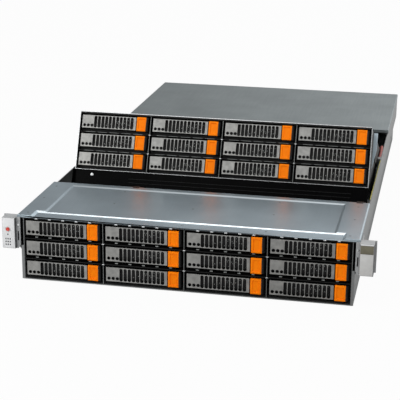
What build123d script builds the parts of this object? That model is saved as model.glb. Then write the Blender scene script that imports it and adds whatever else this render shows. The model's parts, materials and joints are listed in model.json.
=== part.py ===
from build123d import *
from math import atan2, cos, isclose, pi, radians, sin, tan
import os

# Two-unit rack disk shelf. A front bank of disk trays sits under a fixed cover,
# and a second bank stands in a cage that tilts up out of the open middle bay.
# X points right, Y to the back, Z up. Sizes are in millimetres.
# The model is drawn with y = 0 at the front plane and z = 0 under the floor,
# and save() moves it so that the origin is the centre of the footprint.

# Driving sizes of the chassis
depth = 830.0  # front plane to rear wall
cage_gap = 1.8  # between a bank's side and the lower wall
wall_recess = 4.5  # the lower walls stand in by this, for the slide rails
cover_overhang = 0.5  # of the covers over the walls
sheet = 1.2
bend = 0.8  # inner radius of the folds along the floor
cover_hem = 5.0  # the covers' hems stand on the walls
step_low = 40.5  # the wall's step outwards starts here
step_high = 46.0
cover_short = 10.5  # the front cover ends this far before its bank does
rear_cover_behind = 116.3  # from the pivot to the rear cover
cover_sheet = 1.0
cover_round = 1.6  # outer radius of the fold along a cover's sides
terrace_drop = 1.3  # each step down in the front cover
terrace_slope = 3.0  # width of a step's sloping side
middle_half = 187.0  # half width of the front cover's sunk middle
middle_start = 21.0
middle_end = 140.0
strip_half = 199.0  # half width of the lower strip along the front edge
rail_screw_front = 261.0  # from the front plane
rail_screw_rear = 66.0  # from the rear wall
rail_screw_height = 12.5
rail_screw_radius = 2.1
notch_width = 7.0  # in the left wall's top edge, behind the front cover
notch_depth = 6.0

# Driving sizes of the disk banks
columns = 4
rows = 3
column_pitch = 105.4
divider = 1.2
shelf = 1.0
side_sheet = 0.8
slide_gap = 0.3  # between a tray and the sheets round it
bank_behind = 2.0  # the sheets reach this far behind the trays
shelf_setback = 0.8  # shelves start behind the dividers' front edges

# Driving sizes of a tray
face_width = 98.0  # grille and latch together
face_height = 18.8
face_sheet = 1.5
face_lift = 6.0  # face's lower edge above the shelf line
tray_front = 12.0  # depth of the grille's box
rail = 1.0
rail_height = 20.0
disk_length = 145.5
tray_tail = 1.5  # the tray reaches this far behind its disk
disk_lift = 0.4  # under the disk, inside its tray
tail_height = 3.0  # strip across the tray's rear end
disk_height = 24.6
disk_over = 1.0  # from the disk to the shelf over it
slot_count = 11
slot_width = 3.6
slot_height = 15.7
slot_pitch = 5.42
slot_margin = 4.3  # last slot's edge to the grille's right edge
vent_count = 3
vent_radius = 1.7
vent_pitch = 5.6
vent_margin = 3.7
vent_lift = 4.0

# Driving sizes of a latch
latch_width = 15.6
latch_height = 20.4
latch_lift = 5.1
latch_inset = 1.0  # from the face's right end
latch_thickness = 3.0
latch_gap = 1.3  # between grille and latch
latch_panel = 0.8  # depth of the recess in the latch's face
latch_rim = 2.6
latch_side = 1.0  # from the recess to the barrel's axis
hinge_clearance = 0.05

# Driving sizes of the tilting cage
lift_angle = 23.0
pivot_behind = 36.3  # from the lowered cage to its pivot
pivot_under_top = 6.0  # from the wall's top edge down to it
pivot_radius = 3.0
cage_behind = 79.4  # from the front bank to the lowered cage
cage_over_floor = 0.5  # under the lowered cage
lip_height = 2.0
arm_start = 96.0
arm_low = 50.0
arm_sheet = 1.2
arm_end_radius = 9.0
bracket_depth = 46.0
bracket_top = 84.0
bracket_shoulder = 60.0
bracket_foot = 33.0
bracket_return = 26.0
bracket_gap = 0.8  # between the bracket and the upper wall
part_gap = 0.3  # between pieces that move past each other

# Driving sizes of boards, baffle, rear modules, ears and harness
board = 1.6
board_gap = 0.3
plug_gap = 0.6  # between a tray and its plug
plug_lift = 4.0
plug_length = 40.0
plug_height = 7.0
board_vent = 6.0  # height of the air slot over each plug
board_vent_gap = 3.0
baffle_ahead = 2.5  # the baffle's back face is this far ahead of the raised face
baffle_below = 1.0  # the baffle's top edge is this far below the raised face
baffle_return = 8.0
baffle_foot = 14.0
baffle_side = 1.2  # between the baffle and the lower walls
module_setback = 44.0  # modules start this far behind the rear cover's front edge
module_side = 4.0  # between a supply and the wall, and above the modules
module_gap = 6.0  # between a supply and the control modules
supply_width = 86.0
supply_height = 40.0
inlet_width = 28.0
inlet_height = 20.5
inlet_depth = 16.0
ear_gap = 0.4  # between a cover's side and an ear's housing
ear_width = 17.4
ear_flange = 2.2  # the flange reaches past the housing by this
ear_low = 43.0
ear_under_top = 3.0  # the ear's top edge below the cover's
ear_ahead = 8.0
ear_behind = 10.0
ear_plate = 2.0
ear_slant = 5.0
ear_round = 1.5
ear_drop = 1.0  # the web reaches below the housing by this
ear_arm = 46.0
arm_over_step = 4.0  # the ear's arm above the wall's step
arm_under_top = 2.0  # and below the wall's top
button_inset = 8.0  # button's middle from the housing's outer side
button_drop = 15.0  # and from its top
button_radius = 2.5
button_length = 5.0
button_proud = 1.0
harness_radius = 2.0
harness_before_pin = 41.7
harness_past_pin = 50.0  # straight run behind the pivot
harness_inset = 17.5  # the cable's move inwards from the wall
harness_fall = 49.0  # and down to its power supply
harness_end_run = 24.0
harness_wall_gap = 0.2
bend_share = 0.45  # of the shorter run beside a corner, taken by its arc
socket_length = 12.0
socket_height = 6.0

# Sizes worked out from the ones above
bank_floor = sheet - shelf  # the chassis floor is the front bank's lowest shelf
row_pitch = shelf + slide_gap + disk_lift + disk_height + disk_over
bank_height = rows * row_pitch + shelf
height = bank_floor + bank_height + part_gap + cover_sheet + 2 * terrace_drop
wall_height = height - cover_hem
tray_length = tray_front + rail + disk_length + tray_tail
bank_depth = tray_length + bank_behind
front_cover_length = bank_depth - cover_short
closed_y = bank_depth + cage_behind  # the cage's face when it is lowered
closed_floor = sheet + cage_over_floor
pivot_y = closed_y + bank_depth + pivot_behind
pivot_z = wall_height - pivot_under_top
rear_cover_start = pivot_y + rear_cover_behind
harness_start = pivot_y - harness_before_pin
bank_half = (columns * column_pitch - divider) / 2
cage_half = bank_half + side_sheet
half_lower = cage_half + cage_gap + sheet
half_body = half_lower + wall_recess
half_cover = half_body + cover_overhang
step_shift = sheet * tan(atan2(wall_recess, step_high - step_low) / 2)
module_start = rear_cover_start + module_setback
ear_inner = half_cover + ear_gap
ear_outer = ear_inner + ear_width
ear_high = height - ear_under_top
button_x = button_inset - ear_outer
button_z = ear_high - button_drop
tray_half = (column_pitch - divider) / 2 - slide_gap
face_half = face_width / 2
latch_right = face_half - latch_inset
grille_width = face_width - latch_inset - latch_width - latch_gap
front_y = (ear_ahead + button_proud - depth) / 2
board_y = bank_depth + board_gap
board_half = bank_half - part_gap


def block(x0, x1, y0, y1, z0, z1):
    """A box between two opposite corners."""
    return Pos((x0 + x1) / 2, (y0 + y1) / 2, (z0 + z1) / 2) * Box(x1 - x0, y1 - y0, z1 - z0)


def prism_y(points, y0, y1):
    """A closed outline of (x, z) points, drawn out from y0 to y1."""
    face = make_face(Polyline([Vector(x, y0, z) for x, z in points], close=True))
    return extrude(face, amount=y1 - y0, dir=(0, 1, 0))


def prism_x(points, x0, x1):
    """A closed outline of (y, z) points, drawn out from x0 to x1."""
    face = make_face(Polyline([Vector(x0, y, z) for y, z in points], close=True))
    return extrude(face, amount=x1 - x0, dir=(1, 0, 0))


def column_middle(column):
    """The x of a column's middle."""
    return (column - (columns - 1) / 2) * column_pitch


def mirrored(shape):
    """The same shape on the other side of the middle plane."""
    return mirror(shape, about=Plane.YZ)


def in_front_bank(shape):
    """Place a shape drawn in a bank's own frame into the front bank."""
    return Pos(0, 0, bank_floor) * shape


def in_lowered_cage(shape):
    """Place a shape drawn in a bank's own frame into the lowered cage."""
    return Pos(0, closed_y, closed_floor) * shape


def in_raised_cage(shape):
    """Place a shape drawn in a bank's own frame into the cage as it stands raised."""
    turn = Pos(0, pivot_y, pivot_z) * Rot(-lift_angle, 0, 0) * Pos(0, -pivot_y, -pivot_z)
    return turn * in_lowered_cage(shape)


def save(name, shape):
    """Write one node, with the footprint's centre moved to the origin."""
    export_step(Pos(0, front_y, 0) * shape, f"parts/{name}.step")


def wall_outline():
    """The floor and both stepped walls, as one open channel of sheet."""
    right_outer = [
        (half_lower, 0),
        (half_lower, step_low),
        (half_body, step_high),
        (half_body, wall_height),
    ]
    right_inner = [
        (half_body - sheet, wall_height),
        (half_body - sheet, step_high + step_shift),
        (half_lower - sheet, step_low + step_shift),
        (half_lower - sheet, sheet),
    ]
    right = right_outer + right_inner
    return right + [(-x, z) for x, z in reversed(right)]


def rail_screw_holes():
    """The slide rail's screw holes, on one line in each lower wall."""
    holes = []
    for side in (1, -1):
        for y in (rail_screw_front, depth - rail_screw_rear):
            wall = side * (half_lower - sheet / 2)
            bore = Rot(0, 90, 0) * Cylinder(rail_screw_radius, 4 * sheet)
            holes.append(Pos(wall, y, rail_screw_height) * bore)
    return holes


def module_slots():
    """Each rear module as (low x, high x, low z, high z)."""
    top = wall_height - module_side
    low = sheet + part_gap
    middle = (low + top) / 2
    inner = half_lower - sheet - module_side
    supplies = [
        (-inner, -inner + supply_width, low, low + supply_height),
        (inner - supply_width, inner, low, low + supply_height),
    ]
    control_half = inner - supply_width - module_gap
    controls = [
        (-control_half, control_half, low, middle - part_gap),
        (-control_half, control_half, middle + part_gap, top),
    ]
    return supplies + controls


def folded_channel():
    """The floor and walls, with round folds along the floor."""
    channel = prism_y(wall_outline(), 0, depth)
    along = channel.edges().filter_by(Axis.Y).sort_by(Axis.Z)
    channel = fillet(along[:2], bend + sheet)
    inner = [edge for edge in channel.edges().filter_by(Axis.Y) if isclose(edge.center().Z, sheet)]
    return fillet(inner, bend)


def chassis_pan():
    """Floor, stepped side walls and rear wall."""
    pan = folded_channel()
    pan += block(-half_lower + sheet, half_lower - sheet, depth - sheet, depth, sheet, wall_height)
    for x0, x1, z0, z1 in module_slots():
        pan -= block(x0 - part_gap, x1 + part_gap, depth - 2 * sheet, depth + sheet, z0, z1 + part_gap)
    for hole in rail_screw_holes():
        pan -= hole
    pan -= Pos(0, pivot_y, pivot_z) * Rot(0, 90, 0) * Cylinder(pivot_radius + hinge_clearance, 2 * half_cover)
    notch_y = front_cover_length + notch_width
    notch_low = wall_height - notch_depth
    pan -= block(-half_cover, -half_lower, notch_y - notch_width, notch_y, notch_low, height)
    socket_x = half_lower - sheet
    socket_back = harness_start - socket_length
    socket_mid = harness_route()[0].Z
    return pan + block(
        socket_x,
        half_body - sheet,
        socket_back,
        harness_start,
        socket_mid - socket_height / 2,
        socket_mid + socket_height / 2,
    )


def cover_shell(y0, y1, ceiling):
    """A cover's plate with hems turned down to the walls."""
    shell = block(-half_cover, half_cover, y0, y1, wall_height, height)
    folds = shell.edges().filter_by(Axis.Y).group_by(Axis.Z)[-1]
    shell = fillet(folds, cover_round)
    inside = half_cover - cover_sheet
    return shell - block(-inside, inside, y0 - sheet, y1 + sheet, wall_height - sheet, ceiling)


def terrace(x_half, y0, y1, top, floor, slope):
    """A sunk panel with sloping sides, wider by the slope at its top."""
    wide = Pos(0, (y0 + y1) / 2, top) * Rectangle(2 * x_half + slope, y1 - y0 + slope)
    narrow = Pos(0, (y0 + y1) / 2, floor) * Rectangle(2 * x_half - slope, y1 - y0 - slope)
    return loft([narrow, wide])


def front_cover():
    """The terraced front cover: raised borders, a sunk middle, a lower front strip."""
    strip_floor = height - 2 * terrace_drop
    cover = cover_shell(0, front_cover_length, strip_floor - cover_sheet)
    ahead = middle_start  # the strip's panel runs out past the front edge
    middle_floor = height - terrace_drop
    cover -= terrace(middle_half, middle_start, middle_end, height, middle_floor, terrace_slope)
    return cover - terrace(strip_half, -ahead, middle_start, height, strip_floor, terrace_slope)


def rear_cover():
    """The plain rear cover, closed down to the rear wall."""
    cover = cover_shell(rear_cover_start, depth, height - cover_sheet)
    inside = half_cover - cover_sheet
    ceiling = height - cover_sheet
    back = block(-inside, inside, depth - cover_sheet, depth, wall_height, ceiling)
    front = block(-inside, inside, rear_cover_start, rear_cover_start + cover_sheet, wall_height, ceiling)
    return cover + back + front


def bank_shelves(lowest_shelf):
    """A bank's flat shelves, which reach from side to side, in the bank's own frame."""
    shelves = []
    for line in range(lowest_shelf, rows + 1):
        z = line * row_pitch
        shelves.append(block(-bank_half, bank_half, shelf_setback, bank_depth, z, z + shelf))
    return shelves


def bank_dividers():
    """The upright sheets between a bank's columns, one in each row, from shelf to shelf."""
    dividers = []
    for line in range(1, columns):
        x = (line - columns / 2) * column_pitch
        for row in range(rows):
            z = row * row_pitch
            dividers.append(block(x - divider / 2, x + divider / 2, 0, bank_depth, z + shelf, z + row_pitch))
    return dividers


def bank_side(base):
    """A bank's right side."""
    return block(bank_half, cage_half, 0, bank_depth, base, bank_height)


def front_cage():
    """The fixed bank's sides, shelves and dividers. The chassis floor is its lowest shelf."""
    side = bank_side(shelf)
    return in_front_bank(Compound([side, mirrored(side)] + bank_shelves(1) + bank_dividers()))


def cage_arm():
    """One lifting arm with its pivot pin, right side, drawn lowered in the bank's frame."""
    reach = pivot_y - closed_y
    high = pivot_z - closed_floor
    outline = [
        (arm_start, arm_low),
        (bank_depth, arm_low),
        (reach, high - arm_end_radius),
        (reach, high + arm_end_radius),
        (arm_start, bank_height),
    ]
    arm = prism_x(outline, cage_half, cage_half + arm_sheet)
    arm += Pos(cage_half + arm_sheet / 2, reach, high) * Rot(0, 90, 0) * Cylinder(arm_end_radius, arm_sheet)
    pin_end = half_body - part_gap
    pin_length = pin_end - cage_half
    arm += Pos(pin_end - pin_length / 2, reach, high) * Rot(0, 90, 0) * Cylinder(pivot_radius, pin_length)
    return arm


def cage_bracket():
    """One side bracket: a front-facing tab that follows the stepped wall, and its return."""
    outer = half_body - sheet - bracket_gap
    outline = [
        (cage_half, bracket_foot),
        (cage_half, bracket_top),
        (outer, bracket_top),
        (outer, bracket_shoulder),
    ]
    tab = prism_y(outline, bracket_depth, bracket_depth + arm_sheet)
    back = bracket_depth + bracket_return
    return tab + block(cage_half, cage_half + arm_sheet, bracket_depth, back, bracket_shoulder, bank_height)


def tilt_cage():
    """The tilting bank: sides with brackets, arms and pins, shelves, a top lip and dividers."""
    side = bank_side(0) + cage_arm() + cage_bracket()
    shelves = bank_shelves(0)
    shelves[-1] += block(
        -bank_half,
        bank_half,
        0,
        shelf_setback + shelf,
        bank_height - shelf,
        bank_height + lip_height,
    )
    return in_raised_cage(Compound([side, mirrored(side)] + shelves + bank_dividers()))


def backplane():
    """The bank's circuit board with one disk connector for each tray, in the bank's frame."""
    back = board_y + board
    low = shelf + slide_gap
    plate = block(-board_half, board_half, board_y, back, low, bank_height - low)
    half = plug_length / 2
    for column in range(columns):
        for row in range(rows):
            x = column_middle(column)
            z = row * row_pitch + shelf + plug_lift
            plate += block(x - half, x + half, tray_length + plug_gap, board_y, z, z + plug_height)
            vent_low = z + plug_height + board_vent_gap
            vent_top = vent_low + board_vent
            plate -= block(x - half, x + half, board_y - board, back + board, vent_low, vent_top)
    return plate


def air_baffle():
    """The slanted plate that stands in the floor, in line with the raised cage's face."""
    slope = radians(lift_angle)
    ahead, under = closed_y - pivot_y, closed_floor - pivot_z
    raised_y = pivot_y + ahead * cos(slope) + under * sin(slope)
    raised_z = pivot_z - ahead * sin(slope) + under * cos(slope)
    rise = raised_z - sheet
    low = -rise / cos(slope) - baffle_ahead * tan(slope)
    half = half_lower - sheet - baffle_side
    back = -baffle_ahead
    plate = block(-half, half, back - sheet, back, low - sheet, -baffle_below)
    for side in (1, -1):
        edge = sorted((side * half, side * (half - sheet)))
        plate += block(edge[0], edge[1], back - baffle_return, back, low - baffle_return, -baffle_below)
    standing = in_raised_cage(plate)
    foot_y = raised_y - rise * tan(slope) - (baffle_ahead + sheet) / cos(slope)
    standing += block(-half, half, foot_y - baffle_foot, foot_y + 2 * sheet, sheet, 2 * sheet)
    return standing - block(-half_cover, half_cover, 0, depth, -height, sheet)


def vent_cutter(x, z):
    """A six-sided vent, cut through the grille's face."""
    corners = [radians(60 * index) for index in range(6)]
    outline = [(x + vent_radius * sin(turn), z + vent_radius * cos(turn)) for turn in corners]
    return prism_y(outline, -face_sheet, 2 * face_sheet)


def grille():
    """The tray's front: a shallow box whose face is cut by slots and three vents."""
    left = -face_half
    right = left + grille_width
    low = face_lift
    top = low + face_height
    front = block(left, right, 0, tray_front, low, top)
    front -= block(left + rail, right - rail, face_sheet, 2 * tray_front, low + rail, top - rail)
    middle = (low + top) / 2
    for index in range(slot_count):
        x = right - slot_margin - index * slot_pitch
        low_end = middle - slot_height / 2
        front -= block(x - slot_width, x, -face_sheet, 2 * face_sheet, low_end, low_end + slot_height)
    for index in range(vent_count):
        front -= vent_cutter(left + vent_margin + index * vent_pitch, low + vent_lift)
    return front


def hinge_post():
    """The post at the latch's right end, with a trough that holds the latch's barrel."""
    barrel = latch_thickness / 2
    axis_x = latch_right - barrel
    seat = barrel + hinge_clearance
    top = latch_lift + latch_height
    post = block(axis_x, face_half, 0, tray_front, latch_lift, top)
    post += block(axis_x - barrel, face_half, seat + slide_gap, tray_front, latch_lift, top)
    barrel_hole = Cylinder(seat, 2 * latch_height)
    return post - Pos(axis_x, 0, latch_lift + latch_height / 2) * barrel_hole


def tray():
    """One disk tray in a column's own frame: grille, frame, rails and the disk between them."""
    low = shelf + slide_gap
    top = row_pitch - slide_gap
    body = grille() + hinge_post()
    frame = block(-tray_half, tray_half, tray_front, tray_front + rail, low, top)
    frame -= block(
        -face_half + rail,
        -face_half + grille_width - rail,
        0,
        tray_length,
        face_lift + rail,
        face_lift + face_height - rail,
    )
    body += frame
    for side in (1, -1):
        outer = side * tray_half
        edge = sorted((outer, outer - side * rail))
        body += block(edge[0], edge[1], tray_front, tray_length, low, low + rail_height)
    body += block(-tray_half, tray_half, tray_length - rail, tray_length, low, low + tail_height)
    disk_low = low + disk_lift
    disk_half = tray_half - rail
    disk_y = tray_front + rail
    disk = block(-disk_half, disk_half, disk_y, disk_y + disk_length, disk_low, disk_low + disk_height)
    return Compound([body.solid(), disk.solid()])


def latch():
    """One release latch in a column's own frame: a panelled lever with a round barrel."""
    barrel = latch_thickness / 2
    axis_x = latch_right - barrel
    left = latch_right - latch_width
    middle = latch_lift + latch_height / 2
    lever = block(left, axis_x, -barrel, barrel, latch_lift, latch_lift + latch_height)
    lever += Pos(axis_x, 0, middle) * Cylinder(barrel, latch_height)
    lever -= block(
        left + latch_rim,
        axis_x - latch_side,
        -2 * barrel,
        -barrel + latch_panel,
        latch_lift + latch_rim,
        latch_lift + latch_height - latch_rim,
    )
    return lever


def ear():
    """The right ear: housing, web beside the front frame, and an arm along the wall."""
    outer = ear_outer
    inner = ear_inner
    housing = block(inner, outer, -ear_ahead, ear_behind, ear_low, ear_high)
    corners = housing.edges().filter_by(Axis.Z).group_by(Axis.Y)[0]
    rims = housing.edges().filter_by(Axis.X).group_by(Axis.Y)[0]
    housing = fillet(corners + rims, ear_round)
    flange_back = ear_behind - ear_plate
    flange = block(inner, outer + ear_flange, flange_back, ear_behind, ear_low, ear_high)
    web_low = ear_low - ear_drop
    web = [
        (half_lower + part_gap, web_low + ear_slant),
        (half_lower + part_gap, ear_high),
        (outer - ear_plate, ear_high),
        (outer - ear_plate, ear_low + ear_slant),
        (inner + ear_slant, web_low),
        (inner - ear_plate, web_low),
    ]
    plate = prism_y(web, -ear_plate, -part_gap)
    arm_low = step_high + arm_over_step
    arm_high = wall_height - arm_under_top
    arm = block(half_body, half_body + ear_plate, 0, ear_arm, arm_low, arm_high)
    bridge = block(half_body, inner + ear_plate, -part_gap, ear_behind, arm_low, arm_high)
    return housing + flange + plate + arm + bridge


def ears():
    """Both ears. The left one has the power button's bore."""
    right = ear()
    left = mirrored(ear())
    bore = button_length + button_proud + part_gap
    cut = Cylinder(button_radius + hinge_clearance, 2 * bore)
    left -= Pos(button_x, -ear_ahead, button_z) * Rot(90, 0, 0) * cut
    return Compound([right.solid(), left.solid()])


def power_button():
    """The round button in the left ear."""
    length = button_length + button_proud
    start = -ear_ahead - button_proud
    button = Pos(button_x, start + length / 2, button_z) * Rot(90, 0, 0) * Cylinder(button_radius, length)
    return button


def rear_modules():
    """Two power supplies with inlets and two control modules, drawn to the rear wall."""
    solids = []
    for index, (x0, x1, z0, z1) in enumerate(module_slots()):
        module = block(x0, x1, module_start, depth, z0, z1)
        if index < 2:
            x = (x0 + x1) / 2
            z = (z0 + z1) / 2
            module -= block(
                x - inlet_width / 2,
                x + inlet_width / 2,
                depth - inlet_depth,
                depth + inlet_depth,
                z - inlet_height / 2,
                z + inlet_height / 2,
            )
        solids.append(module.solid())
    return Compound(solids)


def harness_route():
    """Points along the cable: out of its socket, over the pivot pin, down to a power supply."""
    wall = half_body - sheet - harness_radius - harness_wall_gap
    over_pin = pivot_z + pivot_radius + harness_radius + harness_wall_gap
    inside = wall - harness_inset
    low = over_pin - harness_fall
    return [
        Vector(wall, harness_start, over_pin),
        Vector(wall, pivot_y + harness_past_pin, over_pin),
        Vector(inside, module_start - harness_end_run, low),
        Vector(inside, module_start, low),
    ]


def bend_radii(points):
    """Arcs as large as the runs beside each corner allow."""
    radii = []
    for before, corner, after in zip(points, points[1:], points[2:]):
        run = min((corner - before).length, (after - corner).length)
        turn = radians((corner - before).get_angle(after - corner))
        radii.append(bend_share * run / tan(turn / 2))
    return radii


def harness():
    """The cable along the right wall, made whole because the object holds it."""
    points = harness_route()
    radii = bend_radii(points)
    print("harness radii", [round(radius) for radius in radii])
    path = FilletPolyline(*points, radius=radii)
    start = Plane(origin=points[0], z_dir=points[1] - points[0])
    tube = sweep(start * Circle(harness_radius), path)
    print("harness volume share", round(tube.volume / (pi * harness_radius**2 * path.length), 4))
    return tube


if __name__ == "__main__":
    os.makedirs("parts", exist_ok=True)
    save("chassis_pan", chassis_pan())
    save("front_cover", front_cover())
    save("rear_cover", rear_cover())
    save("front_cage", front_cage())
    save("tilt_cage", tilt_cage())
    save("front_backplane", in_front_bank(backplane()))
    save("cage_backplane", in_raised_cage(backplane()))
    save("air_baffle", air_baffle())
    save("rear_modules", rear_modules())
    save("ears", ears())
    save("power_button", power_button())
    save("harness", harness())
    one_tray = tray()
    one_latch = latch()
    for column in range(columns):
        for row in range(rows):
            place = Pos(column_middle(column), 0, row * row_pitch)
            tag = f"c{column + 1}_r{row + 1}"
            save(f"front_tray_{tag}", in_front_bank(place * one_tray))
            save(f"front_latch_{tag}", in_front_bank(place * one_latch))
            save(f"cage_tray_{tag}", in_raised_cage(place * one_tray))
            save(f"cage_latch_{tag}", in_raised_cage(place * one_latch))
    print("front plane at y =", front_y)
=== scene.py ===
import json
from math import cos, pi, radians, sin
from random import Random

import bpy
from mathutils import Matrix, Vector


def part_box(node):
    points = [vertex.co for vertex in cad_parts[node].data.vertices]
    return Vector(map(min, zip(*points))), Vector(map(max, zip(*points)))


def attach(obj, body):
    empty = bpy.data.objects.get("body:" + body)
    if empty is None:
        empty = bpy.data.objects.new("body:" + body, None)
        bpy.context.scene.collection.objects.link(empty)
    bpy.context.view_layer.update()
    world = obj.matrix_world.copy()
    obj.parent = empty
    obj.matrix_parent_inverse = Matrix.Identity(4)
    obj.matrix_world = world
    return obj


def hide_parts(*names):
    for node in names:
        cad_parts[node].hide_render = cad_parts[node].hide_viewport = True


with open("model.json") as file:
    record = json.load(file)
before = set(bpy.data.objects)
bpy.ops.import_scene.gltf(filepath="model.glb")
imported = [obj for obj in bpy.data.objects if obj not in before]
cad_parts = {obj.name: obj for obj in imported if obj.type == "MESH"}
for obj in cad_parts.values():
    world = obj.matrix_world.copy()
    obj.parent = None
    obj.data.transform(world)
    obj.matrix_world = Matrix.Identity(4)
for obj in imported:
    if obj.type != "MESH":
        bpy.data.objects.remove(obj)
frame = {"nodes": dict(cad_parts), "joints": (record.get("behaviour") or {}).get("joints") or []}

# %% [markdown]
# # A disk shelf with a tilting cage
#
# The object is a rack unit that holds twenty-four disks. Half of them sit in the front, behind
# pull-out trays. The other half sit in a cage that lifts out of the middle, as it stands here.
# The solid model is already loaded as a fixed frame. This file gives it its looks: folded and
# coated sheet metal, pierced tray fronts, orange latches, ears and the small fixings.
# Everything is in metres, and the named sizes below are millimetres turned to metres once. Only
# the lists of spots for the small fixings stay in millimetres until the fixings are laid down.

MM = 0.001
# Widths of the small rounds along edges, from a thin strip's to a cast lid's.
THIN, STRIP_EDGE, FINE, PRESSED, SOFT = (width * MM for width in (0.1, 0.12, 0.15, 0.2, 0.3))
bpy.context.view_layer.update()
pan_low, pan_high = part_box("chassis_pan")
front_plane = pan_low[1]
rear_plane = pan_high[1]
print("front plane at y =", round(front_plane, 4), "and depth", round(rear_plane - front_plane, 4))

# %% [markdown]
# ## The two banks share one drawing
#
# Both banks hold the same trays, so a tray is modelled once, in a bank's own frame: x across,
# y into the bank and z up from its lowest shelf. One matrix carries it to the front bank, and a
# second one carries it to the cage, which has turned about its pivot pins.

# %% Where the banks stand
joints = {joint["name"]: joint for joint in frame["joints"]}
tilt = joints["cage_tilt"]
pivot = Vector(tilt["pos_m"])
lift = -radians(tilt["range_deg"][0])
COLUMNS, ROWS = 4, 3
COLUMN_PITCH, ROW_PITCH = 105.4 * MM, 27.3 * MM
SHELF = 1.0 * MM
BANK_HEIGHT = ROWS * ROW_PITCH + SHELF
BANK_HALF = 210.2 * MM
CAGE_HALF = 211.0 * MM
FACE_BEFORE_PIVOT, FLOOR_BELOW_PIVOT = 198.3 * MM, 74.3 * MM
BANK_LIFT = 0.2 * MM
front_bank = Matrix.Translation((0, front_plane, BANK_LIFT))
lowered = Matrix.Translation((0, -FACE_BEFORE_PIVOT, -FLOOR_BELOW_PIVOT))
raised_bank = Matrix.Translation(pivot) @ Matrix.Rotation(-lift, 4, "X") @ lowered
chassis_frame = Matrix.Translation((0, front_plane, 0))
BANKS = {"front": front_bank, "cage": raised_bank}
BANK_BODY = {"front": "chassis", "cage": "cage"}
print("cage raised by", round(lift * 180 / pi, 1), "degrees")
print("about", tuple(round(v, 4) for v in pivot))


def column_middle(column):
    return (column - (COLUMNS - 1) / 2) * COLUMN_PITCH


# %% [markdown]
# ## Small modelling helpers
#
# Each helper is one habit of modelling by hand: add a block at its size, select faces by where
# they point, bevel the sharp edges, join pieces, and lay a finished copy down in its bank.

# %% Modelling helpers
def deselect():
    if bpy.context.object and bpy.context.object.mode != "OBJECT":
        bpy.ops.object.mode_set(mode="OBJECT")
    bpy.ops.object.select_all(action="DESELECT")


def choose(piece):
    deselect()
    piece.select_set(True)
    bpy.context.view_layer.objects.active = piece


def settle(piece):
    """Put a piece's place and size into its mesh."""
    choose(piece)
    bpy.ops.object.transform_apply(location=True, rotation=True, scale=True)
    return piece


def block(name, low, high):
    """A block between two corners, the start of most sheet and moulded pieces."""
    deselect()
    low, high = Vector(low), Vector(high)
    bpy.ops.mesh.primitive_cube_add(size=1, location=(low + high) / 2)
    piece = bpy.context.object
    piece.name = name
    piece.scale = high - low
    return settle(piece)


def rod(name, start, radius, length, axis="Y", vertices=20):
    """A round pin or screw head whose axis runs along X, Y or Z from its start."""
    turn = {"X": (0, pi / 2, 0), "Y": (pi / 2, 0, pi / vertices), "Z": (0, 0, 0)}[axis]
    middle = Vector(start)
    middle["XYZ".index(axis)] += length / 2
    deselect()
    bpy.ops.mesh.primitive_cylinder_add(
        vertices=vertices, radius=radius, depth=length, location=middle, rotation=turn
    )
    piece = bpy.context.object
    piece.name = name
    return settle(piece)


def clear_selection(piece, kind):
    """Let a piece's edit mode start with nothing selected, in face or vertex mode."""
    choose(piece)
    bpy.ops.object.mode_set(mode="EDIT")
    bpy.ops.mesh.select_mode(type=kind)
    bpy.ops.mesh.select_all(action="DESELECT")
    leave_edit()


def pick_faces(piece, normal):
    """Select the faces that point along a normal, and leave edit mode open on them."""
    clear_selection(piece, "FACE")
    normal = Vector(normal)
    for polygon in piece.data.polygons:
        if polygon.normal.dot(normal) > 0.99:
            polygon.select = True
    bpy.ops.object.mode_set(mode="EDIT")


def leave_edit():
    bpy.ops.object.mode_set(mode="OBJECT")


def inset(piece, normal, rims, move):
    """Inset the faces that point along a normal, rim by rim, and move what is left inside."""
    pick_faces(piece, normal)
    for rim in rims:
        bpy.ops.mesh.inset(thickness=rim, depth=0)
    bpy.ops.transform.translate(value=move)
    leave_edit()


def apply_modifier(piece, kind, **settings):
    """Add one modifier, set it and apply it."""
    choose(piece)
    bpy.ops.object.modifier_add(type=kind)
    modifier = piece.modifiers[-1]
    for setting, value in settings.items():
        setattr(modifier, setting, value)
    bpy.ops.object.modifier_apply(modifier=modifier.name)
    return piece


def bevel(piece, width, segments=2, angle=35):
    """Round the sharp edges a little, so that they catch the light."""
    return apply_modifier(
        piece,
        "BEVEL",
        width=width,
        segments=segments,
        limit_method="ANGLE",
        angle_limit=radians(angle),
    )


def array(piece, count, step):
    """Repeat a piece along a line."""
    return apply_modifier(
        piece,
        "ARRAY",
        count=count,
        use_relative_offset=False,
        use_constant_offset=True,
        constant_offset_displace=step,
    )


def cut(piece, cutter):
    """Cut one piece with another, which is then deleted."""
    apply_modifier(piece, "BOOLEAN", object=cutter, operation="DIFFERENCE", solver="EXACT")
    bpy.data.objects.remove(cutter, do_unlink=True)


def join(name, pieces):
    deselect()
    for piece in pieces:
        piece.select_set(True)
    bpy.context.view_layer.objects.active = pieces[0]
    bpy.ops.object.join()
    pieces[0].name = name
    return pieces[0]


def finish_with(piece, material, smooth=30):
    """Give a piece one material and smooth its rounded edges."""
    piece.data.materials.clear()
    piece.data.materials.append(material)
    choose(piece)
    bpy.ops.object.shade_smooth_by_angle(angle=radians(smooth))
    return piece


def paint(piece, material, rule):
    """Give the faces that a rule picks a second material."""
    piece.data.materials.append(material)
    slot = len(piece.data.materials) - 1
    for polygon in piece.data.polygons:
        if rule(polygon):
            polygon.material_index = slot


def place(piece, matrix, body):
    """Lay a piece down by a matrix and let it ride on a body."""
    piece.data.transform(matrix)
    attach(piece, body)


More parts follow.
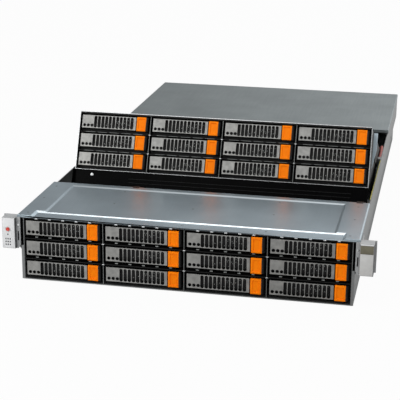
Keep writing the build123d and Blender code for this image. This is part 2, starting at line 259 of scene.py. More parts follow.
def lay(source, name, matrix, body):
    """A copy with its own mesh, laid down by a matrix, that rides on a body."""
    piece = source.copy()
    piece.data = source.data.copy()
    piece.name = name
    piece.data.transform(matrix)
    bpy.context.collection.objects.link(piece)
    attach(piece, body)
    return piece


def strip(name, low, high, round_width, material):
    """A small block with a fine round along its edges and one material."""
    return finish_with(bevel(block(name, low, high), round_width, segments=1), material)


def repeat(source, spots):
    """Copies of a small piece at several spots, joined to one mesh."""
    copies = []
    for spot in spots:
        piece = source.copy()
        piece.data = source.data.copy()
        piece.data.transform(Matrix.Translation(spot))
        bpy.context.collection.objects.link(piece)
        copies.append(piece)
    whole = join(source.name + "_set", copies)
    put_away(source)
    return whole


def put_away(*sources):
    """Delete the pattern pieces once their copies are laid down."""
    for source in sources:
        bpy.data.objects.remove(source, do_unlink=True)


# %% [markdown]
# ## Materials
#
# Colours are written as the sRGB hex values that a picture shows, and one function turns them to
# the linear values that Blender mixes with. One more function adds a node with its settings and
# its links. The patterns read Object coordinates, so they are sized in millimetres and stay put.

# %% Colour and node helpers
def linear(hex_value):
    """sRGB hex to linear red, green, blue and an alpha of one."""
    channels = [int(hex_value[i:i + 2], 16) / 255 for i in (1, 3, 5)]
    return [c / 12.92 if c <= 0.04045 else ((c + 0.055) / 1.055) ** 2.4 for c in channels] + [1.0]


def add_node(tree, kind, settings=None, links=None):
    """Add a node, set its fields and inputs, and link other nodes' outputs to its inputs."""
    node = tree.nodes.new(kind)
    for key, value in (settings or {}).items():
        if key in node.inputs:
            node.inputs[key].default_value = value
        else:
            setattr(node, key, value)
    for key, output in (links or {}).items():
        tree.links.new(output, node.inputs[key])
    return node


def noise_of(tree, vector, size, detail):
    """A noise whose lumps are about this many millimetres wide."""
    settings = {"Scale": per_mm(size), "Detail": detail}
    return add_node(tree, "ShaderNodeTexNoise", settings, {"Vector": vector}).outputs["Fac"]


def per_mm(size):
    """The texture scale whose pattern repeats about once in this many millimetres."""
    return 1 / (size * MM)


def new_material(name, colour, metallic, roughness):
    material = bpy.data.materials.new(name)
    material.use_nodes = True
    shader = material.node_tree.nodes["Principled BSDF"]
    shader.inputs["Base Color"].default_value = linear(colour)
    shader.inputs["Metallic"].default_value = metallic
    shader.inputs["Roughness"].default_value = roughness
    return material, material.node_tree, shader


def tone(tree, shader, vector, light, dark, size, detail=3.0, low=0.35, high=0.65):
    """Colour that drifts between two tones over patches of a real size."""
    noise = noise_of(tree, vector, size, detail)
    ramp = add_node(tree, "ShaderNodeValToRGB", links={"Fac": noise})
    ramp.color_ramp.elements[0].position = low
    ramp.color_ramp.elements[0].color = linear(dark)
    ramp.color_ramp.elements[1].position = high
    ramp.color_ramp.elements[1].color = linear(light)
    tree.links.new(ramp.outputs["Color"], shader.inputs["Base Color"])


def rough_range(tree, shader, vector, size, low, high, detail=2.0):
    """Roughness that wanders between two values."""
    noise = noise_of(tree, vector, size, detail)
    limits = {"To Min": low, "To Max": high}
    spread = add_node(tree, "ShaderNodeMapRange", limits, {"Value": noise})
    tree.links.new(spread.outputs["Result"], shader.inputs["Roughness"])


def grain(tree, shader, vector, size, height_mm, strength=1.0, detail=2.0):
    """A fine bump with a real height."""
    noise = noise_of(tree, vector, size, detail)
    depth = {"Strength": strength, "Distance": height_mm * MM}
    bump = add_node(tree, "ShaderNodeBump", depth, {"Height": noise})
    tree.links.new(bump.outputs["Normal"], shader.inputs["Normal"])


def object_space(tree, scale=(1, 1, 1)):
    """Object coordinates, stretched where a finish runs along one direction."""
    where = add_node(tree, "ShaderNodeTexCoord").outputs["Object"]
    stretched = add_node(tree, "ShaderNodeMapping", {"Scale": scale}, {"Vector": where})
    return stretched.outputs["Vector"]


# %% [markdown]
# ### Zinc-coated steel
#
# The covers and the chassis are cold-rolled sheet with a thin zinc coat. It is a soft, bluish
# metal with faint rolling marks along the sheet and cloudy patches a few centimetres wide, and
# its blurred gloss picks up the brightness of the room. The rear cover's coat is duller. On the
# front cover's pressed bends a lighter copy of the zinc is a painted highlight. The rolling marks
# are finer on the real sheet, and are drawn 3 mm wide so that they show.

# %% Zinc-coated sheet steel
def zinc_sheet(name, light, dark, low, high):
    material, tree, shader = new_material(name, light, 0.85, low)
    clouds = object_space(tree)
    rolling = object_space(tree, (1.0, 0.04, 1.0))
    tone(tree, shader, clouds, light, dark, 60, detail=4.0, low=0.3, high=0.7)
    rough_range(tree, shader, rolling, 3.0, low, high)
    grain(tree, shader, rolling, 1.2, 0.02, strength=0.25)
    return material


zinc_cover = zinc_sheet("zinc_coated_cover_sheet", "#A9B7BF", "#9CA9B1", 0.30, 0.40)
# A lighter copy of the cover's zinc: the painted highlight on the front cover's bends.
zinc_painted_bend_highlight = zinc_sheet("zinc_with_painted_bend_highlight", "#D6DFE3", "#CBD4D9", 0.26, 0.34)
zinc_plain = zinc_sheet("zinc_coated_rear_sheet", "#868E90", "#7A8284", 0.42, 0.55)
zinc_wall = zinc_sheet("zinc_coated_wall_sheet", "#868888", "#7A7C7C", 0.38, 0.50)

# %% [markdown]
# ### Black coat, alloy, plastics and the rest
#
# Powder coat is a fine orange peel of plastic, so it is not metallic and its gloss is broken up.
# The tray fronts are satin zinc die casting. The latches are orange ABS with a moulded grain.
# The boards are green fibreglass under a solder mask, and a disk's body is bare cast aluminium.

# %% Coats, castings and mouldings
def black_coat(name, light, dark, low, high, peel, index):
    material, tree, shader = new_material(name, light, 0.0, low)
    shader.inputs["IOR"].default_value = index
    space = object_space(tree)
    tone(tree, shader, space, light, dark, 18)
    rough_range(tree, shader, space, 2.0, low, high)
    grain(tree, shader, space, 0.8, 0.03, strength=peel)
    return material


def metal_finish(name, light, dark, metallic, low, high, patch, peel):
    """A metal whose tone drifts in patches and whose gloss is a little uneven."""
    material, tree, shader = new_material(name, light, metallic, low)
    space = object_space(tree)
    tone(tree, shader, space, light, dark, patch, detail=5.0)
    rough_range(tree, shader, space, 1.5, low, high)
    grain(tree, shader, space, 0.5, 0.02, strength=peel)
    return material


def plastic(name, light, dark, roughness, patch, peel, index=1.5):
    """A moulded plastic: an even colour, a fine grain and a plain gloss."""
    material, tree, shader = new_material(name, light, 0.0, roughness)
    shader.inputs["IOR"].default_value = index
    space = object_space(tree)
    tone(tree, shader, space, light, dark, patch)
    grain(tree, shader, space, 0.4, 0.02, strength=peel)
    return material


coat = black_coat("black_powder_coat", "#0B0B0C", "#060606", 0.5, 0.65, 0.5, 1.35)
gloss_coat = black_coat("black_gloss_enamel", "#030304", "#010101", 0.16, 0.22, 0.1, 1.1)
alloy = metal_finish("satin_zinc_casting", "#979794", "#858583", 0.8, 0.34, 0.46, 7, 0.4)
casting = metal_finish("bare_cast_aluminium", "#7E8082", "#6A6C6E", 0.9, 0.4, 0.5, 4, 0.6)
nickel = metal_finish("nickel_plated_steel", "#D8DADB", "#C2C5C6", 1.0, 0.22, 0.3, 1.5, 0.1)
bare_edge = metal_finish("bare_cut_steel_edge", "#8F9290", "#7A7D7B", 0.8, 0.35, 0.45, 6, 0.2)
orange = plastic("orange_moulded_abs", "#FF8600", "#FD7E00", 0.6, 5, 0.35, index=1.2)
silver = plastic("silver_painted_abs", "#A9ABAC", "#9C9E9F", 0.4, 9, 0.3)
# The ears' lighter silver is painted light, and the dark grey of their sides is painted shade.
painted_light_silver = plastic("silver_abs_with_painted_light", "#E2E3E4", "#D9DADB", 0.4, 9, 0.3)
side_shade_and_seam_grey = plastic("dark_grey_painted_side_shade_and_seam", "#4C4D4E", "#434445", 0.5, 9, 0.3)
shade = plastic("grey_brown_abs", "#6E6A58", "#625E4E", 0.45, 8, 0.3)
pale = plastic("pale_grey_abs", "#C9C9C7", "#C0C0BE", 0.45, 8, 0.2)
red = plastic("red_glossy_acrylic", "#D2453A", "#B8281F", 0.2, 2, 0.05)
# This black also stands as painted shade: in the tray fronts' openings, the covers' hem gaps and
# the ears' web slots.
nylon_and_painted_shade = plastic("black_nylon_with_painted_shade", "#161617", "#0F0F10", 0.5, 4, 0.4, index=1.4)
mask = plastic("green_solder_mask", "#185433", "#0F3F25", 0.3, 6, 0.1)
ink = plastic("dark_printed_ink", "#18191A", "#121314", 0.5, 2, 0.0, index=1.3)
red_sleeve = plastic("red_braided_sleeve", "#A8443A", "#6E2A22", 0.55, 1.6, 0.8)
yellow_trim = plastic("yellow_edge_rubber", "#B8AC4A", "#8F8A3A", 0.5, 3, 0.5)
print("materials made:", len(bpy.data.materials))

# %% [markdown]
# ## Camera and light
#
# The camera was fitted to the picture's corners: it stands to the right of the middle, looks
# eleven degrees to the left and seventeen degrees down, and leans by half a degree. The light is
# soft and even, and a white sheet of paper lies under the object. Metal looks like what it
# mirrors, so two things shade its gloss: the room is dimmer behind the object's left, which
# grades the covers, and the paper is dimmer in front of its right, which grades the tray fronts.
# A lamp high in front makes the cover's pressed bends bright, and a painted highlight adds to it.

# %% Camera
CAMERA_PLACE = Vector((314.5 * MM, front_plane - 1452.1 * MM, 587.7 * MM))
CAMERA_TURN, CAMERA_DROP, CAMERA_LEAN = radians(11.468), radians(17.4), radians(0.53)
FOCAL_PIXELS, IMAGE_PIXELS = 1257.9, 400
SENSOR = 36.0
back = Vector((
    sin(CAMERA_TURN) * cos(CAMERA_DROP),
    -cos(CAMERA_TURN) * cos(CAMERA_DROP),
    sin(CAMERA_DROP),
))
right = (-back).cross(Vector((0, 0, 1))).normalized()
up = right.cross(-back)
leaning_right = cos(CAMERA_LEAN) * right + sin(CAMERA_LEAN) * up
leaning_up = -sin(CAMERA_LEAN) * right + cos(CAMERA_LEAN) * up
deselect()
bpy.ops.object.camera_add(location=CAMERA_PLACE)
camera = bpy.context.object
camera.matrix_world = Matrix.Translation(CAMERA_PLACE) @ Matrix(
    (leaning_right, leaning_up, back)
).transposed().to_4x4()
camera.data.sensor_width = SENSOR
camera.data.lens = FOCAL_PIXELS * SENSOR / IMAGE_PIXELS
camera.data.clip_end = 20
bpy.context.scene.camera = camera
print("lens", round(camera.data.lens, 1), "mm on a", SENSOR, "mm sensor")

# %% The room
bpy.context.scene.view_settings.view_transform = "Standard"
world = bpy.data.worlds.new("soft_white_room")
world.use_nodes = True
bpy.context.scene.world = world
room = world.node_tree
room.nodes.clear()
ROOM_DIM, ROOM_BRIGHT, ROOM_FILL = 0.1, 1.05, 0.72
DIM_LEFT, DIM_RIGHT = (-0.8, -0.48), (-0.42, 0.02)
FAR_LEFT_BRIGHT = 0.85


def brighter_of(tree, value, first, second):
    """The brighter of two ramps over a coordinate, each (from, to, start, end)."""
    largest = add_node(tree, "ShaderNodeMath", {"operation": "MAXIMUM"})
    for socket, (low, high, start, end) in enumerate((first, second)):
        limits = {"From Min": low, "From Max": high, "To Min": start, "To Max": end}
        ramp = add_node(tree, "ShaderNodeMapRange", limits, {"Value": value})
        tree.links.new(ramp.outputs["Result"], largest.inputs[socket])
    return largest.outputs["Value"]


def switch_shader(tree, factor, off, on):
    """One shader for the rays that a Light Path output names, and another for the rest."""
    mix = add_node(tree, "ShaderNodeMixShader", links={"Fac": factor})
    tree.links.new(off, mix.inputs[1])
    tree.links.new(on, mix.inputs[2])
    return mix.outputs["Shader"]


def plain_light(strength, links=None):
    """A white background of one strength, or of a linked one."""
    settings = {"Color": (1, 1, 1, 1), "Strength": strength}
    return add_node(room, "ShaderNodeBackground", settings, links).outputs["Background"]


direction = add_node(room, "ShaderNodeTexCoord").outputs["Generated"]
sideways = add_node(room, "ShaderNodeSeparateXYZ", links={"Vector": direction}).outputs["X"]
shade_of_room = brighter_of(
    room,
    sideways,
    (*DIM_RIGHT, ROOM_DIM, ROOM_BRIGHT),
    (*DIM_LEFT, FAR_LEFT_BRIGHT, ROOM_DIM),
)
mirrored = plain_light(1.0, {"Strength": shade_of_room})
white = plain_light(1.0)
ray = add_node(room, "ShaderNodeLightPath").outputs
shown = switch_shader(room, ray["Is Glossy Ray"], plain_light(ROOM_FILL), mirrored)
for kind in ("Is Transmission Ray", "Is Camera Ray"):
    shown = switch_shader(room, ray[kind], shown, white)
add_node(room, "ShaderNodeOutputWorld", links={"Surface": shown})

# %% Soft lamps
def soft_lamp(name, spot, aim, size, power):
    deselect()
    bpy.ops.object.light_add(type="AREA", location=spot)
    lamp = bpy.context.object
    lamp.name = name
    lamp.data.shape = "DISK"
    lamp.data.size = size
    lamp.data.energy = power
    toward = Vector(aim) - Vector(spot)
    lamp.rotation_euler = toward.to_track_quat("-Z", "Y").to_euler()


LAMPS = {
    "key_left": ((-0.5, front_plane - 1.25, 1.25), (-0.05, front_plane + 0.1, 0.08), 0.9, 2.6),
    "near_left": ((-0.7, front_plane - 0.7, 0.45), (-0.12, front_plane, 0.04), 0.4, 2.2),
    "right_back": ((1.3, 1.6, 1.5), (0.05, front_plane + 0.1, 0.08), 1.4, 10),
    "top_soft": ((-0.3, front_plane - 0.45, 1.7), (0, front_plane + 0.1, 0.08), 1.0, 6),
}
for lamp_name, (spot, aim, size, power) in LAMPS.items():
    soft_lamp(lamp_name, spot, aim, size, power)
print("lamps:", len(LAMPS))

# %% The paper floor
FLOOR_SIZE, FLOOR_DROP = 12.0, 0.2 * MM
PAPER_WHITE, PAPER_DIM = 0.96, 0.2
PAPER_FALL, PAPER_RISE = (-0.12, 0.14), (0.24, 0.36)
deselect()
bpy.ops.mesh.primitive_plane_add(size=FLOOR_SIZE, location=(0, 0, -FLOOR_DROP))
floor = bpy.context.object
floor.name = "floor"
floor_material = bpy.data.materials.new("white_paper_floor")
floor_material.use_nodes = True
paper = floor_material.node_tree
paper_shader = paper.nodes["Principled BSDF"]
paper_shader.inputs["Base Color"].default_value = (0.5, 0.5, 0.5, 1)
paper_shader.inputs["Roughness"].default_value = 0.9
floor.data.materials.append(floor_material)
glow = add_node(paper, "ShaderNodeEmission", {"Strength": 1.0}).outputs["Emission"]
plain = paper_shader.outputs["BSDF"]


def paper_mix(share, links=None):
    """Paper that is partly its own white, so that it keeps the object's shadow."""
    mix = add_node(paper, "ShaderNodeMixShader", {"Fac": share}, links)
    paper.links.new(plain, mix.inputs[1])
    paper.links.new(glow, mix.inputs[2])
    return mix.outputs["Shader"]


where = add_node(paper, "ShaderNodeTexCoord").outputs["Object"]
across = add_node(paper, "ShaderNodeSeparateXYZ", links={"Vector": where}).outputs["X"]
shade_of_paper = brighter_of(
    paper,
    across,
    (*PAPER_FALL, PAPER_WHITE, PAPER_DIM),
    (*PAPER_RISE, PAPER_DIM, PAPER_WHITE),
)
ray = add_node(paper, "ShaderNodeLightPath").outputs
mirrored = paper_mix(PAPER_WHITE, {"Fac": shade_of_paper})
seen = paper_mix(PAPER_WHITE)
shown = switch_shader(paper, ray["Is Glossy Ray"], plain, mirrored)
for kind in ("Is Transmission Ray", "Is Camera Ray"):
    shown = switch_shader(paper, ray[kind], shown, seen)
paper.links.new(shown, paper.nodes["Material Output"].inputs["Surface"])

# %% [markdown]
# ## Folded sheets
#
# A folded sheet has no knife edges: each corner is a small round. The solids are drawn with sharp
# corners, so each sheet part is taken as a copy, its loose triangles are merged back to whole
# faces, and a fine bevel runs along every fold and rim. The front cover's sunk panels have
# sloping sides, and a wider round there catches the lamp high in front as a bright crease; a
# painted highlight on those slopes makes it brighter.

# %% Sheet parts from the frame
def rounded_copy(node, name, width, material, body, segments=2, smooth=4):
    """A copy of a node with merged faces and rounded edges, shown in its place."""
    source = frame["nodes"][node]
    piece = source.copy()
    piece.data = source.data.copy()
    piece.name = name
    piece.parent = None
    bpy.context.collection.objects.link(piece)
    choose(piece)
    bpy.ops.object.mode_set(mode="EDIT")
    bpy.ops.mesh.select_all(action="SELECT")
    bpy.ops.mesh.remove_doubles(threshold=0.005 * MM)
    bpy.ops.mesh.dissolve_limited(angle_limit=radians(1))
    leave_edit()
    if width:
        bevel(piece, width, segments=segments, angle=20)
    finish_with(piece, material, smooth)
    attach(piece, body)
    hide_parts(node)
    return piece


SHEETS = [
    ("front_cover", zinc_cover, "chassis", 0.7, 3),
    ("rear_cover", zinc_plain, "chassis", 0.4, 2),
    ("chassis_pan", zinc_wall, "chassis", 0.3, 2),
    ("front_cage", coat, "chassis", 0.12, 1),
    ("tilt_cage", coat, "cage", 0.12, 1),
    ("air_baffle", gloss_coat, "chassis", 0.3, 2),
]
shaped = {}
for node, material, body, width, segments in SHEETS:
    shaped[node] = rounded_copy(node, "shaped_" + node, width * MM, material, body, segments)
    print(node, "faces", len(shaped[node].data.polygons))

# %% [markdown]
# ### Bends of the front cover
#
# The sloping sides of the sunk panels get a lighter copy of the zinc, a painted highlight, so
# those bends shine more than the flat sheet. The rule takes the slopes across the cover.

# %% Painted highlight on the bends
BEND_FIELD_X, BEND_FRONT, BEND_REAR = 206.0 * MM, 9.0 * MM, 149.0 * MM
SLOPES_AT_LEAST, FACES_UP_AT_LEAST = 0.25, 0.15


def on_bend(polygon):
    spot, normal = polygon.center, polygon.normal
    return (
        abs(normal.y) > SLOPES_AT_LEAST
        and normal.z > FACES_UP_AT_LEAST
        and abs(spot.x) < BEND_FIELD_X
        and BEND_FRONT < spot.y - front_plane < BEND_REAR
    )


# The bends' slopes get the lighter zinc as a painted highlight.
paint(shaped["front_cover"], zinc_painted_bend_highlight, on_bend)

# %% [markdown]
# ### Bare sheet among the black
#
# The cages are black inside, but the fixed bank's outer sides and the tilting cage's brackets are
# plain zinc-coated sheet. The same mesh carries both finishes: a rule picks faces by their place.

# %% Two finishes on the cages
BRACKET_FRONT, BRACKET_REAR, BRACKET_FOOT = 45.0 * MM, 75.0 * MM, 30.0 * MM
to_cage = raised_bank.inverted()


def on_outer_side(polygon):
    return abs(polygon.center.x) > BANK_HALF - 0.05 * MM


def on_bracket(polygon):
    spot = to_cage @ polygon.center
    return (
        abs(spot.x) > CAGE_HALF + 0.02 * MM
        and BRACKET_FRONT < spot.y < BRACKET_REAR
        and spot.z > BRACKET_FOOT
    )


paint(shaped["front_cage"], zinc_wall, on_outer_side)
paint(shaped["tilt_cage"], zinc_cover, on_bracket)

# %% Boards with black connectors
PLUG_BEFORE_BOARD = 162.2 * MM
for node, bank in (("front_backplane", "front"), ("cage_backplane", "cage")):
    board = rounded_copy(node, "shaped_" + node, 0, mask, BANK_BODY[bank])
    home = BANKS[bank].inverted()
    paint(board, nylon_and_painted_shade, lambda polygon: (home @ polygon.center).y < PLUG_BEFORE_BOARD)

# %% [markdown]
# ## The tray
#
# A tray's front is a cast plate with a plain end, three round vents and a row of upright slots.
# The plate is a block, and one slot cutter, a stretched cylinder, is repeated by an Array. The
# walls of its slots and vents are painted black, as shade. Behind it stands a black sheet, painted
# shade for the dark inside of the tray, with small bare dimples: they are the grey specks that
# show in the slots. They lie scattered, more of them to the right, so a seeded random draw picks
# them and gives the same ones each run. Spring fingers hang below and earth the tray.

# %% Tray sizes
FACE_LEFT, FACE_RIGHT = -49.0 * MM, 31.1 * MM
FACE_LOW, FACE_HIGH = 6.0 * MM, 24.8 * MM
FACE_SHEET, BOX_DEPTH = 0.9 * MM, 12.0 * MM
SLOTS, SLOT_PITCH = 11, 5.42 * MM
SLOT_WIDTH, SLOT_TALL, SLOT_MARGIN = 4.6 * MM, 17.2 * MM, 3.9 * MM
VENTS, VENT_RADIUS, VENT_PITCH = 3, 2.2 * MM, 5.5 * MM
VENT_MARGIN, VENT_LIFT = 3.7 * MM, 4.0 * MM
CUT_START, CUT_LENGTH = -2 * MM, 5 * MM
TRAY_HALF, TRAY_LENGTH = 51.8 * MM, 160.0 * MM
TRAY_LOW, TRAY_HIGH = 1.3 * MM, 27.0 * MM
RAIL, RAIL_TALL = 1.0 * MM, 20.0 * MM
SCREEN_FRONT, SCREEN_THICK, PLATE_RIM = 5.0 * MM, 0.6 * MM, 0.2 * MM
DIMPLE_RADIUS, DIMPLE_PITCH, DIMPLES = 0.75 * MM, 2.7 * MM, 21
DIMPLE_RISE, DIMPLE_LINES = 2.1 * MM, 6
DIMPLE_LEFT, DIMPLE_LOW = FACE_LEFT + 20 * MM, FACE_LOW + 3.6 * MM
DIMPLE_PROUD, DIMPLE_DEEP, DIMPLE_TIP = 0.25 * MM, 0.3 * MM, 0.6
DIMPLE_SHARE_LEFT, DIMPLE_SHARE_GAIN = 0.03, 0.3
draw = Random(11)


# %% Tray front
def slot_cutters():
    """A stretched cylinder for each slot, repeated by an Array."""
    middle = (FACE_LOW + FACE_HIGH) / 2
    last = FACE_RIGHT - SLOT_MARGIN - SLOT_WIDTH / 2
    first = last - (SLOTS - 1) * SLOT_PITCH
    start = (first, CUT_START, middle)
    cutter = rod("slot_cutter", start, SLOT_WIDTH / 2, CUT_LENGTH, vertices=12)
    stretch = (SLOT_TALL - SLOT_WIDTH) / 2
    for side in (1, -1):
        clear_selection(cutter, "VERT")
        for vertex in cutter.data.vertices:
            vertex.select = side * (vertex.co.z - middle) > 0
        bpy.ops.object.mode_set(mode="EDIT")
        bpy.ops.transform.translate(value=(0, 0, side * stretch))
        leave_edit()
    return array(cutter, SLOTS, (SLOT_PITCH, 0, 0))


def tray_plate():
    plate = block("tray_plate", (FACE_LEFT, 0, FACE_LOW), (FACE_RIGHT, FACE_SHEET, FACE_HIGH))
    cut(plate, slot_cutters())
    for index in range(VENTS):
        x = FACE_LEFT + VENT_MARGIN + index * VENT_PITCH
        start = (x, CUT_START, FACE_LOW + VENT_LIFT)
        cut(plate, rod("vent_cutter", start, VENT_RADIUS, CUT_LENGTH, vertices=12))
    bevel(plate, FINE, segments=1, angle=40)
    finish_with(plate, alloy)
    # The slot and vent walls, the plate's ends, underside and back are painted black: painted
    # shade.
    under_top = FACE_HIGH - PLATE_RIM
    paint(plate, nylon_and_painted_shade, lambda side: side.normal.y > -0.3 and side.center.z < under_top)
    return plate


def tray_shade_screen():
    """The dimpled black sheet behind the slots, painted shade for the tray's dark inside."""
    screen = block(
        "tray_shade_screen",
        (FACE_LEFT + RAIL, SCREEN_FRONT, FACE_LOW + RAIL),
        (FACE_RIGHT - RAIL, SCREEN_FRONT + SCREEN_THICK, FACE_HIGH - RAIL),
    )
    finish_with(screen, coat)
    start = (0, SCREEN_FRONT - DIMPLE_PROUD, 0)
    dimple = rod("dimple", start, DIMPLE_RADIUS, DIMPLE_DEEP, vertices=6)
    pick_faces(dimple, (0, -1, 0))
    bpy.ops.transform.resize(value=(DIMPLE_TIP, 1, DIMPLE_TIP))
    leave_edit()
    finish_with(dimple, bare_edge)
    spots = []
    for line in range(DIMPLE_LINES):
        for index in range(DIMPLES):
            share = index / DIMPLES
            if draw.random() < DIMPLE_SHARE_LEFT + share * DIMPLE_SHARE_GAIN:
                x = DIMPLE_LEFT + (index + line % 2 / 2) * DIMPLE_PITCH
                spots.append((x, 0, DIMPLE_LOW + line * DIMPLE_RISE))
    return join("tray_shade_screen", [screen, repeat(dimple, spots)])


POST_LEFT, POST_FRONT, CHEEK_LEFT, CHEEK_BACK = 45.0 * MM, 1.9 * MM, 48.15 * MM, 2.5 * MM
POST_RIGHT, POST_LOW, POST_HIGH = 49.0 * MM, 5.1 * MM, 25.5 * MM
TAIL_TALL, RAIL_RIM, RAIL_SINK = 3 * MM, 4 * MM, 0.3 * MM


def tray_shell():
    """The black box behind the plate, the frame, the rails and the latch's post."""
    box_low, box_high = (FACE_LEFT, FACE_SHEET, FACE_LOW), (FACE_RIGHT, BOX_DEPTH, FACE_HIGH)
    box = block("tray_shell", box_low, box_high)
    for normal in ((0, -1, 0), (0, 1, 0)):
        pick_faces(box, normal)
        bpy.ops.mesh.delete(type="FACE")
        leave_edit()
    apply_modifier(box, "SOLIDIFY", thickness=RAIL, offset=-1)
    frame_plate = block(
        "frame_plate", (-TRAY_HALF, BOX_DEPTH, TRAY_LOW), (TRAY_HALF, BOX_DEPTH + RAIL, TRAY_HIGH)
    )
    window = block(
        "window",
        (FACE_LEFT + RAIL, BOX_DEPTH - RAIL, FACE_LOW + RAIL),
        (FACE_RIGHT - RAIL, BOX_DEPTH + 2 * RAIL, FACE_HIGH - RAIL),
    )
    cut(frame_plate, window)
    post = block(
        "hinge_post", (POST_LEFT, POST_FRONT, POST_LOW), (POST_RIGHT, BOX_DEPTH, POST_HIGH)
    )
    cheek = block("hinge_cheek", (CHEEK_LEFT, 0, POST_LOW), (POST_RIGHT, CHEEK_BACK, POST_HIGH))
    pieces = [box, frame_plate, post, cheek]
    for side in (1, -1):
        edge = sorted((side * TRAY_HALF, side * (TRAY_HALF - RAIL)))
        rail_top = TRAY_LOW + RAIL_TALL
        wall = block("rail", (edge[0], BOX_DEPTH, TRAY_LOW), (edge[1], TRAY_LENGTH, rail_top))
        inset(wall, (side, 0, 0), [RAIL_RIM], (-side * RAIL_SINK, 0, 0))
        pieces.append(wall)
    low, high = (-TRAY_HALF, TRAY_LENGTH - RAIL), (TRAY_HALF, TRAY_LENGTH)
    pieces.append(block("tail", (*low, TRAY_LOW), (*high, TRAY_LOW + TAIL_TALL)))
    for piece in pieces:
        bevel(piece, FINE, segments=1)
    return finish_with(join("tray_shell", pieces), coat)


# %% Spring fingers under a tray's front
FINGERS, FINGER_PITCH, FINGER_WIDTH = 5, 17.7 * MM, 3.7 * MM
FIRST_FINGER = -(FINGERS - 1) / 2 * FINGER_PITCH
FINGER_LOW, FINGER_HIGH, FINGER_THICK = 2.5 * MM, 3.7 * MM, 0.3 * MM
TOE_FRONT, TOE_BACK, LEG_FRONT = 0.6 * MM, 1.0 * MM, 0.9 * MM


def spring_fingers():
    """Five bent strips that run forward from the frame and turn down at their ends."""
    left, right_side = FIRST_FINGER - FINGER_WIDTH / 2, FIRST_FINGER + FINGER_WIDTH / 2
    leg_low = (left, LEG_FRONT, FINGER_HIGH - FINGER_THICK)
    leg = block("finger", leg_low, (right_side, BOX_DEPTH, FINGER_HIGH))
    toe = block("toe", (left, TOE_FRONT, FINGER_LOW), (right_side, TOE_BACK, FINGER_HIGH))
    finger = bevel(join("finger", [leg, toe]), THIN, segments=1)
    return finish_with(array(finger, FINGERS, (FINGER_PITCH, 0, 0)), bare_edge)


DISK_LENGTH, DISK_TALL, DISK_LIFT = 145.5 * MM, 24.6 * MM, 0.4 * MM
BODY_DROP, BODY_ROUND = 1 * MM, 0.8 * MM
LID_SIDE, LID_REAR, LID_LOW, LID_HIGH = 2 * MM, 6 * MM, 1.2 * MM, 0.4 * MM
LID_RIM, LID_RISE = 7 * MM, 0.4 * MM
LID_SCREW_RADIUS, LID_SCREW_LOW = 1.8 * MM, 0.45 * MM
LID_SCREW_MARGIN, LID_SCREW_REAR = 6 * MM, 11 * MM


def disk():
    """The disk: a cast body and a pressed lid with its screws."""
    half = TRAY_HALF - RAIL
    low = TRAY_LOW + DISK_LIFT
    top = low + DISK_TALL
    start = BOX_DEPTH + RAIL
    end = start + DISK_LENGTH
    body = block("disk_body", (-half, start, low), (half, end, top - BODY_DROP))
    bevel(body, BODY_ROUND)
    lid = block(
        "disk_lid",
        (-half + LID_SIDE, start + LID_SIDE, top - LID_LOW),
        (half - LID_SIDE, end - LID_REAR, top - LID_HIGH),
    )
    inset(lid, (0, 0, 1), [LID_RIM], (0, 0, LID_RISE))
    bevel(lid, SOFT)
    screws = []
    for x in (-half + LID_SCREW_MARGIN, 0, half - LID_SCREW_MARGIN):
        for y in (start + LID_SCREW_MARGIN, end - LID_SCREW_REAR):
            spot = (x, y, top - LID_SCREW_LOW)
            screws.append(rod("lid_screw", spot, LID_SCREW_RADIUS, LID_RISE, "Z", vertices=12))
    return finish_with(join("disk", [body, lid] + screws), casting)


plate, screen, shell = tray_plate(), tray_shade_screen(), tray_shell()
fingers, drive = spring_fingers(), disk()
for source in (plate, screen, shell, fingers, drive):
    print(source.name, len(source.data.polygons), "faces")

# %% [markdown]
# ## The latch
#
# The latch is an orange lever with a black barrel at its right end, where it turns. Its front has
# a sunk panel for a finger: the front face is inset and pushed in. A small round runs along all
# of its edges, which is what makes moulded plastic look moulded.

# %% Latch
LATCH_LEFT, LATCH_RIGHT, BARREL_X = 32.4 * MM, 46.2 * MM, 46.5 * MM
LATCH_LOW, LATCH_HIGH = 5.1 * MM, 25.5 * MM
LATCH_THICK = 3.0 * MM
PANEL_MARGIN, PANEL_DEPTH, PANEL_SLOPE = 2.4 * MM, 1.0 * MM, 0.55 * MM
LEVER_ROUND, BARREL_PLAY, BARREL_INSET = 0.5 * MM, 0.02 * MM, 0.4 * MM


def latch():
    half = LATCH_THICK / 2
    lever = block("latch", (LATCH_LEFT, -half, LATCH_LOW), (LATCH_RIGHT, half, LATCH_HIGH))
    bevel(lever, LEVER_ROUND, segments=2, angle=40)
    inset(lever, (0, -1, 0), [PANEL_MARGIN - LEVER_ROUND, PANEL_SLOPE], (0, PANEL_DEPTH, 0))
    finish_with(lever, orange)
    start = (BARREL_X, 0, LATCH_LOW + BARREL_INSET)
    length = LATCH_HIGH - LATCH_LOW - 2 * BARREL_INSET
    barrel = rod("barrel", start, half - BARREL_PLAY, length, "Z", 16)
    finish_with(bevel(barrel, FINE, segments=1, angle=60), nylon_and_painted_shade)
    return join("latch", [lever, barrel])


lever = latch()

# %% Lay the trays and latches down in both banks
TRAY_SOURCES = {
    "plate": plate, "screen": screen, "shell": shell, "disk": drive, "fingers": fingers
}
for column in range(COLUMNS):
    for row in range(ROWS):
        step = Matrix.Translation((column_middle(column), 0, row * ROW_PITCH))
        tag = f"c{column + 1}_r{row + 1}"
        for bank, matrix in BANKS.items():
            tray_body = f"{bank}_tray_{tag}_body"
            for what, source in TRAY_SOURCES.items():
                if what == "fingers" and (bank == "cage" or row == 0):
                    continue
                piece = lay(source, f"{bank}_{what}_{tag}", matrix @ step, tray_body)
                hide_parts(f"{bank}_tray_{tag}")
            piece = lay(lever, f"{bank}_lever_{tag}", matrix @ step, f"{bank}_latch_{tag}_body")
            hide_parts(f"{bank}_latch_{tag}")
put_away(plate, screen, shell, fingers, drive, lever)

